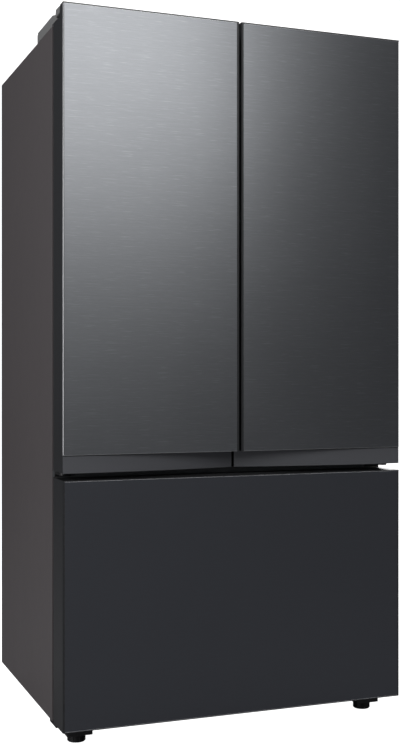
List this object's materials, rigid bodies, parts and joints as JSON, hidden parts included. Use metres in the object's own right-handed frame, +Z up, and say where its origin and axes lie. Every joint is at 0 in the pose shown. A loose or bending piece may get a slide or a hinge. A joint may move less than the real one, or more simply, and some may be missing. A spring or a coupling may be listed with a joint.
{
  "type": "french door refrigerator",
  "caption": "Free-standing refrigerator with paired upper doors on side hinges, grip bands under their panels, and a full-width freezer drawer below.",
  "frame": {"origin": "centre of the footprint box, on the floor", "axes": "+Z up, doors face -Y, +X to the right of a person facing the doors"},
  "size_m": [0.908, 0.73, 1.778],
  "materials": {
    "case_paint": "matte",
    "galvanised_sheet": "satin",
    "black_steel": "satin",
    "foam": "matte",
    "white_liner": "satin",
    "rail_paint": "satin",
    "cover_plastic": "matte",
    "zinc_steel": "satin",
    "black_plastic": "matte",
    "roller_plastic": "satin",
    "compressor_paint": "satin",
    "condenser_paint": "satin",
    "fan_plastic": "satin",
    "evaporator_aluminium": "satin",
    "lamp_lens": "matte",
    "panel_plastic": "gloss",
    "shelf_glass": "gloss",
    "clear_plastic": "gloss",
    "door_steel": "satin",
    "drawer_steel": "satin",
    "door_trim": "satin",
    "gasket_rubber": "matte",
    "valve_plastic": "satin",
    "screw_steel": "satin"
  },
  "bodies": {
    "cabinet": {"outer_case": "case_paint", "back_panel": "galvanised_sheet", "base_frame": "black_steel", "case_insulation": "foam", "fridge_liner": "white_liner", "freezer_liner": "white_liner", "centre_rail": "rail_paint", "machine_cover": "galvanised_sheet", "hinge_covers": "cover_plastic", "top_hinges": "zinc_steel", "centre_hinges": "black_steel", "leg_brackets": "black_steel", "compressor": "compressor_paint", "condenser": "condenser_paint", "drain_pan": "black_plastic", "power_inlet": "black_plastic", "water_valve": "valve_plastic", "evaporator": "evaporator_aluminium", "evaporator_cover": "white_liner", "air_tower": "white_liner", "lamp_covers": "lamp_lens", "control_panel": "panel_plastic", "shelf_frames": "white_liner", "shelf_glass": "shelf_glass", "ice_maker": "white_liner", "fixed_rails": "zinc_steel", "cover_screws": "screw_steel"},
    "left_door": {"left_door_panel": "door_steel", "left_door_frame": "door_trim", "left_door_core": "foam", "left_door_liner": "white_liner", "left_door_gasket": "gasket_rubber", "left_door_bins": "clear_plastic"},
    "right_door": {"right_door_panel": "door_steel", "right_door_frame": "door_trim", "right_door_core": "foam", "right_door_liner": "white_liner", "right_door_gasket": "gasket_rubber", "right_door_bins": "clear_plastic"},
    "dairy_lid": {"dairy_lid": "clear_plastic"},
    "flip_mullion": {"flip_mullion": "rail_paint"},
    "freezer_drawer": {"freezer_panel": "drawer_steel", "freezer_frame": "door_trim", "freezer_core": "foam", "freezer_door_liner": "white_liner", "freezer_gasket": "gasket_rubber", "basket_frame": "zinc_steel", "freezer_basket": "white_liner"},
    "middle_rails": {"middle_rails": "zinc_steel"},
    "freezer_tray": {"freezer_tray": "white_liner"},
    "left_crisper": {"left_crisper": "clear_plastic"},
    "right_crisper": {"right_crisper": "clear_plastic"},
    "snack_drawer": {"snack_drawer": "clear_plastic"},
    "ice_tray": {"ice_tray": "valve_plastic"},
    "condenser_fan": {"condenser_fan": "fan_plastic"},
    "evaporator_fan": {"evaporator_fan": "fan_plastic"},
    "left_leveling_leg": {"left_leveling_leg": "black_plastic"},
    "right_leveling_leg": {"right_leveling_leg": "black_plastic"},
    "left_rear_roller": {"left_rear_roller": "roller_plastic"},
    "right_rear_roller": {"right_rear_roller": "roller_plastic"}
  },
  "joints": [
    {"name": "left_door_hinge", "type": "hinge", "parent": "cabinet", "child": "left_door", "pos_m": [-0.4375, -0.305, 0.663], "axis": [0, 0, -1], "range_deg": [0, 120]},
    {"name": "right_door_hinge", "type": "hinge", "parent": "cabinet", "child": "right_door", "pos_m": [0.4375, -0.305, 0.663], "axis": [0, 0, 1], "range_deg": [0, 120]},
    {"name": "dairy_lid_hinge", "type": "hinge", "parent": "right_door", "child": "dairy_lid", "pos_m": [0.225, -0.279, 1.5095], "axis": [1, 0, 0], "range_deg": [0, 80]},
    {"name": "mullion_hinge", "type": "hinge", "parent": "left_door", "child": "flip_mullion", "pos_m": [-0.034, -0.248, 0.7115], "axis": [0, 0, -1], "range_deg": [0, 90]},
    {"name": "freezer_drawer_slide", "type": "slide", "parent": "cabinet", "child": "freezer_drawer", "axis": [0, -1, 0], "range_m": [0, 0.48]},
    {"name": "middle_rail_slide", "type": "slide", "parent": "cabinet", "child": "middle_rails", "axis": [0, -1, 0], "range_m": [0, 0.24]},
    {"name": "freezer_tray_slide", "type": "slide", "parent": "cabinet", "child": "freezer_tray", "axis": [0, -1, 0], "range_m": [0, 0.264]},
    {"name": "left_crisper_slide", "type": "slide", "parent": "cabinet", "child": "left_crisper", "axis": [0, -1, 0], "range_m": [0, 0.24]},
    {"name": "right_crisper_slide", "type": "slide", "parent": "cabinet", "child": "right_crisper", "axis": [0, -1, 0], "range_m": [0, 0.24]},
    {"name": "snack_drawer_slide", "type": "slide", "parent": "cabinet", "child": "snack_drawer", "axis": [0, -1, 0], "range_m": [0, 0.24]},
    {"name": "ice_tray_twist", "type": "hinge", "parent": "cabinet", "child": "ice_tray", "pos_m": [-0.3285, -0.147, 0.562], "axis": [0, 1, 0], "range_deg": [0, 160]},
    {"name": "condenser_fan_spin", "type": "hinge", "parent": "cabinet", "child": "condenser_fan", "pos_m": [-0.038, 0.23, 0.148], "axis": [1, 0, 0], "continuous": true},
    {"name": "evaporator_fan_spin", "type": "hinge", "parent": "cabinet", "child": "evaporator_fan", "pos_m": [0, 0.279, 0.547], "axis": [0, 1, 0], "continuous": true},
    {"name": "left_leg_turn", "type": "hinge", "parent": "cabinet", "child": "left_leveling_leg", "pos_m": [-0.3955, -0.267, 0], "axis": [0, 0, 1], "range_deg": [-180, 180]},
    {"name": "right_leg_turn", "type": "hinge", "parent": "cabinet", "child": "right_leveling_leg", "pos_m": [0.3955, -0.267, 0], "axis": [0, 0, 1], "range_deg": [-180, 180]},
    {"name": "left_roller_spin", "type": "hinge", "parent": "cabinet", "child": "left_rear_roller", "pos_m": [-0.384, 0.31, 0.02], "axis": [1, 0, 0], "continuous": true},
    {"name": "right_roller_spin", "type": "hinge", "parent": "cabinet", "child": "right_rear_roller", "pos_m": [0.384, 0.31, 0.02], "axis": [1, 0, 0], "continuous": true}
  ],
  "couplings": [
    {"joint": "middle_rail_slide", "follows": "freezer_drawer_slide", "ratio": 0.5},
    {"joint": "freezer_tray_slide", "follows": "freezer_drawer_slide", "ratio": 0.55},
    {"joint": "left_crisper_slide", "follows": "left_door_hinge", "m_per_rad": 0.1145},
    {"joint": "right_crisper_slide", "follows": "right_door_hinge", "m_per_rad": 0.1145},
    {"joint": "snack_drawer_slide", "follows": "right_door_hinge", "m_per_rad": 0.1145}
  ]
}
